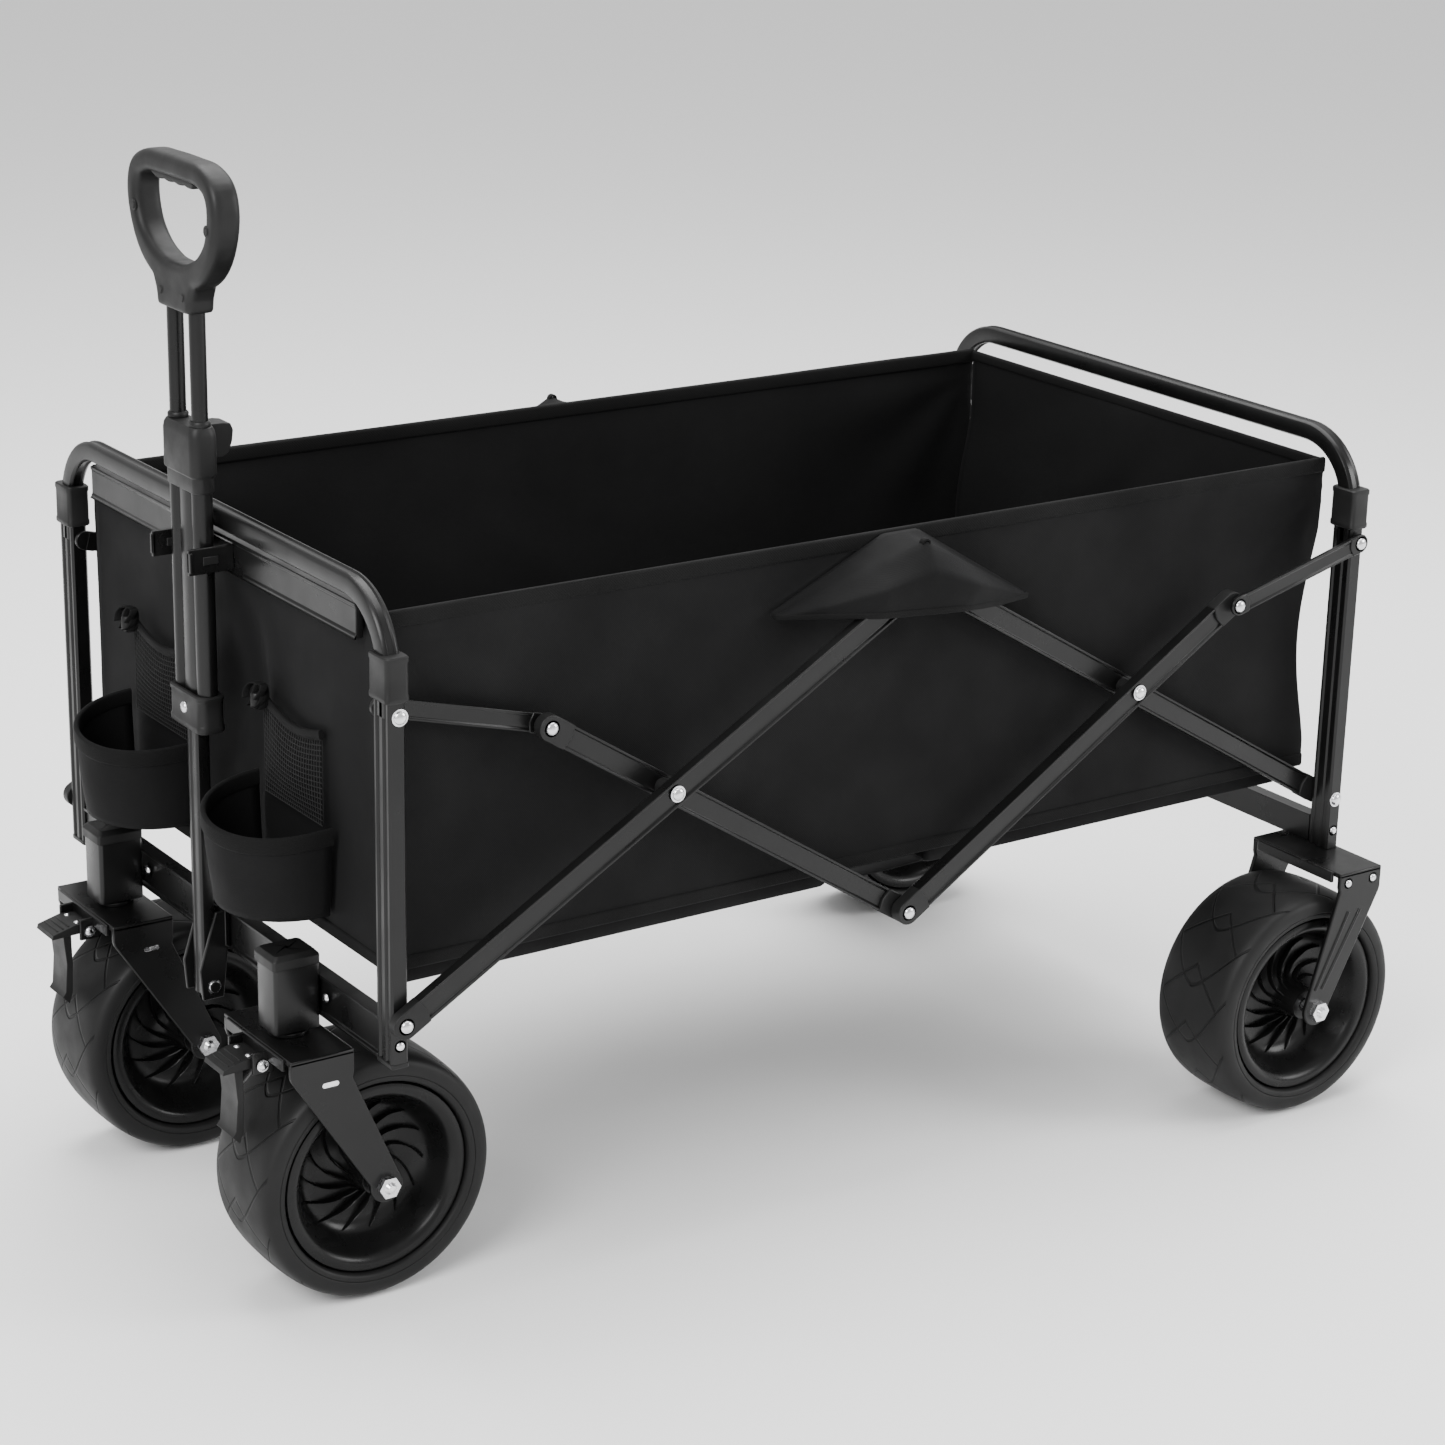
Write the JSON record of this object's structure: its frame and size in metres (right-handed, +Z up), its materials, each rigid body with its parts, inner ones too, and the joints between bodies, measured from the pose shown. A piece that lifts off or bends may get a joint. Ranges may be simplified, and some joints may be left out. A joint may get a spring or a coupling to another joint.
{
  "type": "wagon with pull handle",
  "caption": "Folding utility wagon with a fabric basket, scissor side linkage, swivelling front casters, fat wheels and a telescoping pull handle.",
  "frame": {"origin": "middle of the ground footprint, under the centre of the whole wagon", "axes": "-X towards the pull handle, +X towards the fixed rear wheels, +Y the wagon's left side, +Z up"},
  "size_m": [1, 0.64, 0.809],
  "materials": {
    "black_steel": "satin powder coat",
    "black_plastic": "moulded, fine grain",
    "tyre_rubber": "soft matte rubber",
    "fabric": "woven polyester",
    "rivet_steel": "zinc plated"
  },
  "bodies": {
    "rear_frame": {"rear_frame_tube": "black_steel", "rear_sleeve_left": "black_plastic", "rear_sleeve_right": "black_plastic", "rear_lower_rail": "black_steel", "rear_wall": "fabric", "rear_fork_left": "black_steel", "rear_fork_right": "black_steel"},
    "rear_lift_links": {"rear_lift_link_left": "black_steel", "rear_lift_link_right": "black_steel"},
    "front_lift_links": {"front_lift_link_left": "black_steel", "front_lift_link_right": "black_steel"},
    "front_frame": {"front_frame_tube": "black_steel", "front_sleeve_left": "black_plastic", "front_sleeve_right": "black_plastic", "front_lower_rail": "black_steel", "handle_rail": "black_steel", "front_wall": "fabric", "cup_pocket_left": "fabric", "cup_pocket_right": "fabric", "caster_housing_left": "black_steel", "caster_housing_right": "black_steel", "handle_foot_bracket": "black_steel"},
    "rear_cross_links": {"rear_cross_link_left": "black_steel", "rear_cross_link_right": "black_steel"},
    "front_cross_links": {"front_cross_link_left": "black_steel", "front_cross_link_right": "black_steel"},
    "rear_stays": {"rear_stay_left": "black_steel", "rear_stay_right": "black_steel"},
    "front_stays": {"front_stay_left": "black_steel", "front_stay_right": "black_steel"},
    "floor_panel_rear": {"floor_board_rear": "fabric"},
    "floor_panel_front": {"floor_board_front": "fabric"},
    "floor_middle": {"floor_strip": "fabric"},
    "basket_rear": {"side_wall_rear_left": "fabric", "side_wall_rear_right": "fabric"},
    "basket_front": {"side_wall_front_left": "fabric", "side_wall_front_right": "fabric"},
    "rim_flaps": {"apex_flap_left": "fabric", "apex_flap_right": "fabric"},
    "caster_left": {"caster_fork_left": "black_steel"},
    "caster_right": {"caster_fork_right": "black_steel"},
    "brake_left": {"brake_pedal_left": "black_plastic"},
    "brake_right": {"brake_pedal_right": "black_plastic"},
    "front_wheel_left": {"tyre_front_left": "tyre_rubber", "wheel_front_left": "black_plastic"},
    "front_wheel_right": {"tyre_front_right": "tyre_rubber", "wheel_front_right": "black_plastic"},
    "rear_wheel_left": {"tyre_rear_left": "tyre_rubber", "wheel_rear_left": "black_plastic"},
    "rear_wheel_right": {"tyre_rear_right": "tyre_rubber", "wheel_rear_right": "black_plastic"},
    "handle_base": {"handle_lower_tube": "black_steel"},
    "handle_middle": {"handle_middle_tube": "black_steel", "handle_clamp": "black_plastic", "handle_collar": "black_plastic"},
    "handle_top": {"handle_rods": "black_steel", "handle_grip": "black_plastic", "grip_pad": "black_plastic"}
  },
  "joints": [
    {"name": "fold", "type": "hinge", "parent": "rear_frame", "child": "rear_lift_links", "pos_m": [0.456, 0, 0.253], "axis": [0, 1, 0], "range_deg": [0, 46]},
    {"name": "apex_hinge", "type": "hinge", "parent": "rear_lift_links", "child": "front_lift_links", "pos_m": [0.02, 0, 0.509], "axis": [0, 1, 0], "range_deg": [-92, 0]},
    {"name": "front_post_hinge", "type": "hinge", "parent": "front_lift_links", "child": "front_frame", "pos_m": [-0.416, 0, 0.253], "axis": [0, 1, 0], "range_deg": [0, 46]},
    {"name": "rear_cross_hinge", "type": "hinge", "parent": "rear_lift_links", "child": "rear_cross_links", "pos_m": [0.237, 0, 0.381], "axis": [0, 1, 0], "range_deg": [-91, 0]},
    {"name": "front_cross_hinge", "type": "hinge", "parent": "front_lift_links", "child": "front_cross_links", "pos_m": [-0.197, 0, 0.381], "axis": [0, 1, 0], "range_deg": [0, 91]},
    {"name": "rear_stay_hinge", "type": "hinge", "parent": "rear_frame", "child": "rear_stays", "pos_m": [0.454, 0, 0.472], "axis": [0, 1, 0], "range_deg": [0, 91]},
    {"name": "front_stay_hinge", "type": "hinge", "parent": "front_frame", "child": "front_stays", "pos_m": [-0.414, 0, 0.472], "axis": [0, 1, 0], "range_deg": [-91, 0]},
    {"name": "rear_floor_hinge", "type": "hinge", "parent": "rear_frame", "child": "floor_panel_rear", "pos_m": [0.432, 0, 0.26], "axis": [0, 1, 0], "range_deg": [0, 84.5]},
    {"name": "front_floor_hinge", "type": "hinge", "parent": "front_frame", "child": "floor_panel_front", "pos_m": [-0.392, 0, 0.26], "axis": [0, 1, 0], "range_deg": [-84.5, 0]},
    {"name": "floor_middle_lift", "type": "slide", "parent": "rear_frame", "child": "floor_middle", "axis": [0.6575, 0, 0.7534], "range_m": [0, 0.484], "deforming": ["floor_strip"]},
    {"name": "rear_basket_shift", "type": "slide", "parent": "rear_frame", "child": "basket_rear", "axis": [0.8, 0, 0.6], "range_m": [0, 0.3965], "deforming": ["side_wall_rear_left", "side_wall_rear_right"]},
    {"name": "front_basket_shift", "type": "slide", "parent": "front_frame", "child": "basket_front", "axis": [-0.8, 0, 0.6], "range_m": [0, 0.3965], "deforming": ["side_wall_front_left", "side_wall_front_right"]},
    {"name": "flap_hinge", "type": "hinge", "parent": "rear_lift_links", "child": "rim_flaps", "pos_m": [0.02, 0, 0.509], "axis": [0, 1, 0], "range_deg": [-46, 0]},
    {"name": "caster_swivel_left", "type": "hinge", "parent": "front_frame", "child": "caster_left", "pos_m": [-0.441, 0.146, 0.203], "axis": [0, 0, 1], "continuous": true},
    {"name": "caster_swivel_right", "type": "hinge", "parent": "front_frame", "child": "caster_right", "pos_m": [-0.441, -0.146, 0.203], "axis": [0, 0, 1], "continuous": true},
    {"name": "brake_left", "type": "hinge", "parent": "caster_left", "child": "brake_left", "pos_m": [-0.472, 0.146, 0.196], "axis": [0, -1, 0], "range_deg": [0, 8]},
    {"name": "brake_right", "type": "hinge", "parent": "caster_right", "child": "brake_right", "pos_m": [-0.472, -0.146, 0.196], "axis": [0, -1, 0], "range_deg": [0, 8]},
    {"name": "front_wheel_spin_left", "type": "hinge", "parent": "caster_left", "child": "front_wheel_left", "pos_m": [-0.391, 0.146, 0.095], "axis": [0, 1, 0], "continuous": true},
    {"name": "front_wheel_spin_right", "type": "hinge", "parent": "caster_right", "child": "front_wheel_right", "pos_m": [-0.391, -0.146, 0.095], "axis": [0, 1, 0], "continuous": true},
    {"name": "rear_wheel_spin_left", "type": "hinge", "parent": "rear_frame", "child": "rear_wheel_left", "pos_m": [0.405, 0.262, 0.095], "axis": [0, 1, 0], "continuous": true},
    {"name": "rear_wheel_spin_right", "type": "hinge", "parent": "rear_frame", "child": "rear_wheel_right", "pos_m": [0.405, -0.262, 0.095], "axis": [0, 1, 0], "continuous": true},
    {"name": "handle_tilt", "type": "hinge", "parent": "front_frame", "child": "handle_base", "pos_m": [-0.435, 0, 0.193], "axis": [0, -1, 0], "range_deg": [0, 95]},
    {"name": "handle_lower_slide", "type": "slide", "parent": "handle_base", "child": "handle_middle", "axis": [0, 0, 1], "range_m": [-0.03, 0.1]},
    {"name": "handle_rod_slide", "type": "slide", "parent": "handle_middle", "child": "handle_top", "axis": [0, 0, 1], "range_m": [-0.075, 0.09]}
  ],
  "couplings": [
    {"joint": "apex_hinge", "follows": "fold", "ratio": -2},
    {"joint": "front_post_hinge", "follows": "fold", "ratio": 1},
    {"joint": "rear_cross_hinge", "follows": "fold", "ratio": -1.9645},
    {"joint": "front_cross_hinge", "follows": "fold", "ratio": 1.9645},
    {"joint": "rear_stay_hinge", "follows": "fold", "ratio": 1.9667},
    {"joint": "front_stay_hinge", "follows": "fold", "ratio": -1.9667},
    {"joint": "rear_floor_hinge", "follows": "fold", "ratio": 1.8261},
    {"joint": "front_floor_hinge", "follows": "fold", "ratio": -1.8261},
    {"joint": "floor_middle_lift", "follows": "fold", "m_per_rad": 0.60144},
    {"joint": "rear_basket_shift", "follows": "fold", "m_per_rad": 0.49213},
    {"joint": "front_basket_shift", "follows": "fold", "m_per_rad": 0.49213},
    {"joint": "flap_hinge", "follows": "fold", "ratio": -1}
  ]
}
